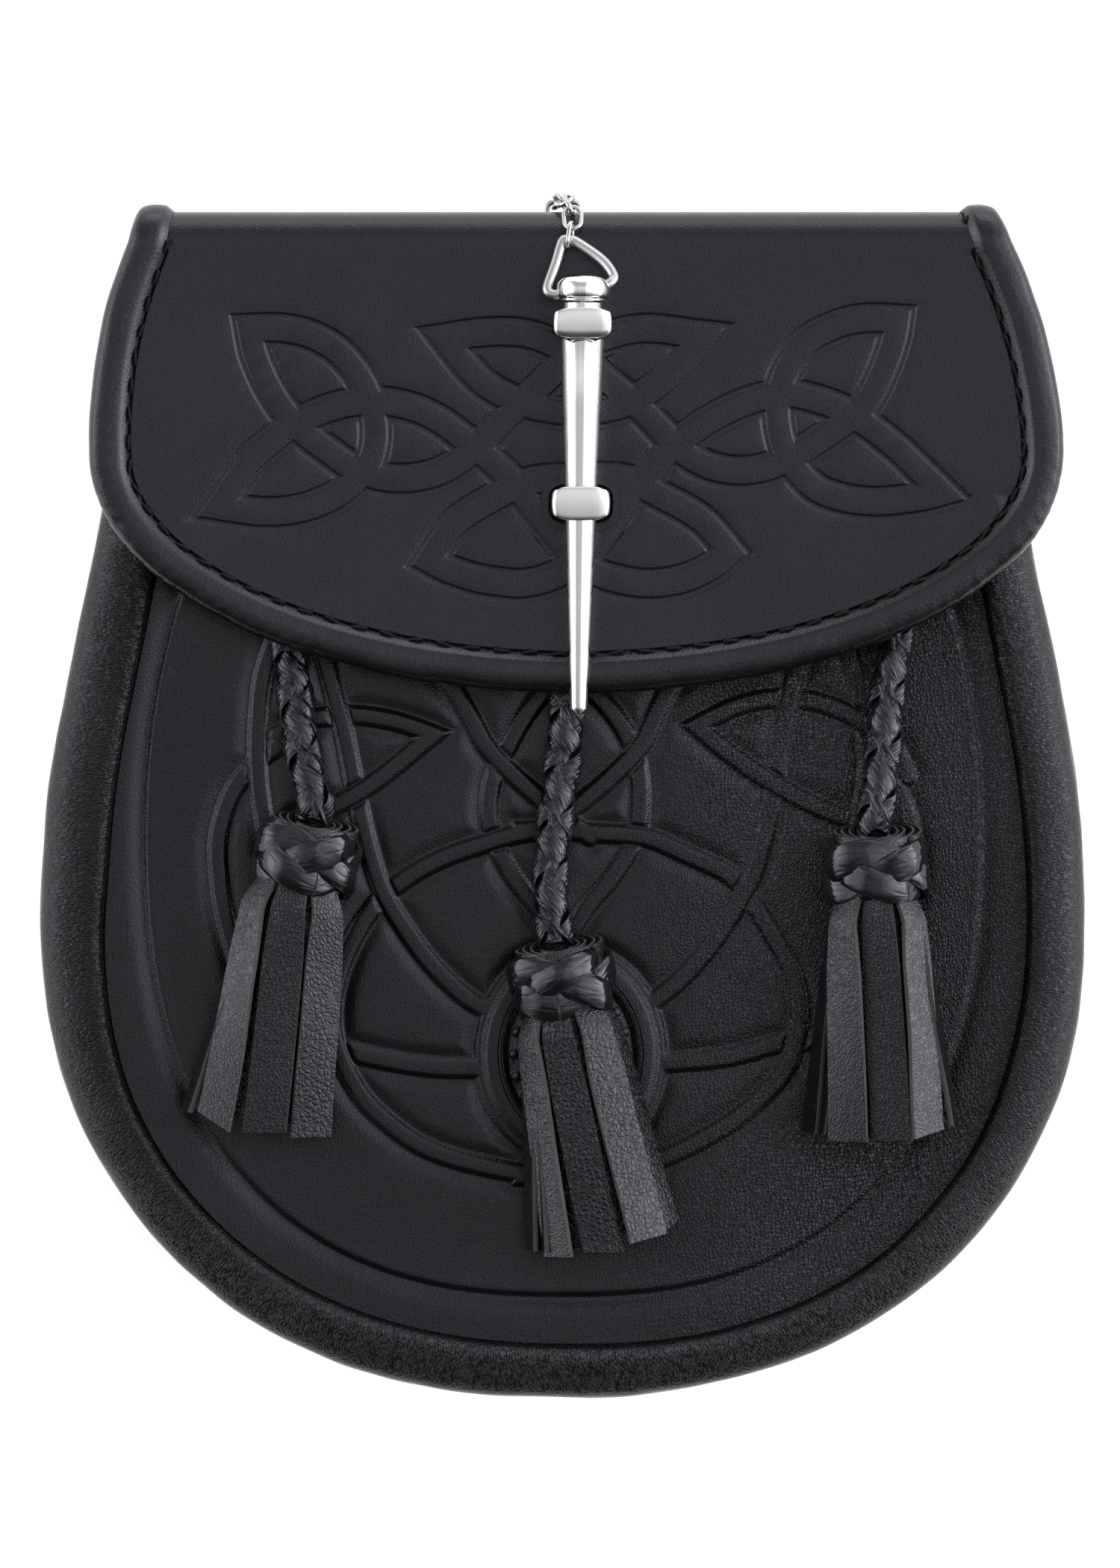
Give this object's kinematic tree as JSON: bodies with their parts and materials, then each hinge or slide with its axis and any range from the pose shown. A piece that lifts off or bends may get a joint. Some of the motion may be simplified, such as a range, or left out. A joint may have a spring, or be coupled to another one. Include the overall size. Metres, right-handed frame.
{
  "type": "sporran pouch",
  "caption": "Black leather sporran pouch with a bound, embossed flap, a tapered pin on a chain, and tassels on braided cords, lying on its back.",
  "frame": {"origin": "under the middle of the whole part, on the surface that it lies on", "axes": "+X to the right of the front, +Y to its top, +Z out of the front"},
  "size_m": [0.19, 0.2194, 0.0492],
  "materials": {
    "black_leather": "matte",
    "binding_leather": "satin",
    "tassel_leather": "satin",
    "chromed_metal": "polished"
  },
  "bodies": {
    "root": {"gusset": "black_leather", "front_panel": "black_leather", "back_and_flap": "black_leather", "flap_binding": "binding_leather", "belt_loop_left": "black_leather", "belt_loop_right": "black_leather", "pin": "chromed_metal", "upper_staple": "chromed_metal", "lower_staple": "chromed_metal", "bail": "chromed_metal", "chain_link_01": "chromed_metal", "chain_link_02": "chromed_metal", "chain_link_03": "chromed_metal", "chain_link_04": "chromed_metal", "chain_link_05": "chromed_metal", "chain_link_06": "chromed_metal", "chain_link_07": "chromed_metal", "chain_link_08": "chromed_metal", "chain_link_09": "chromed_metal", "chain_staple": "chromed_metal", "cord_left": "tassel_leather", "knot_left": "binding_leather", "tassel_left": "tassel_leather", "cord_centre": "tassel_leather", "knot_centre": "binding_leather", "tassel_centre": "tassel_leather", "cord_right": "tassel_leather", "knot_right": "binding_leather", "tassel_right": "tassel_leather"}
  },
  "joints": []
}
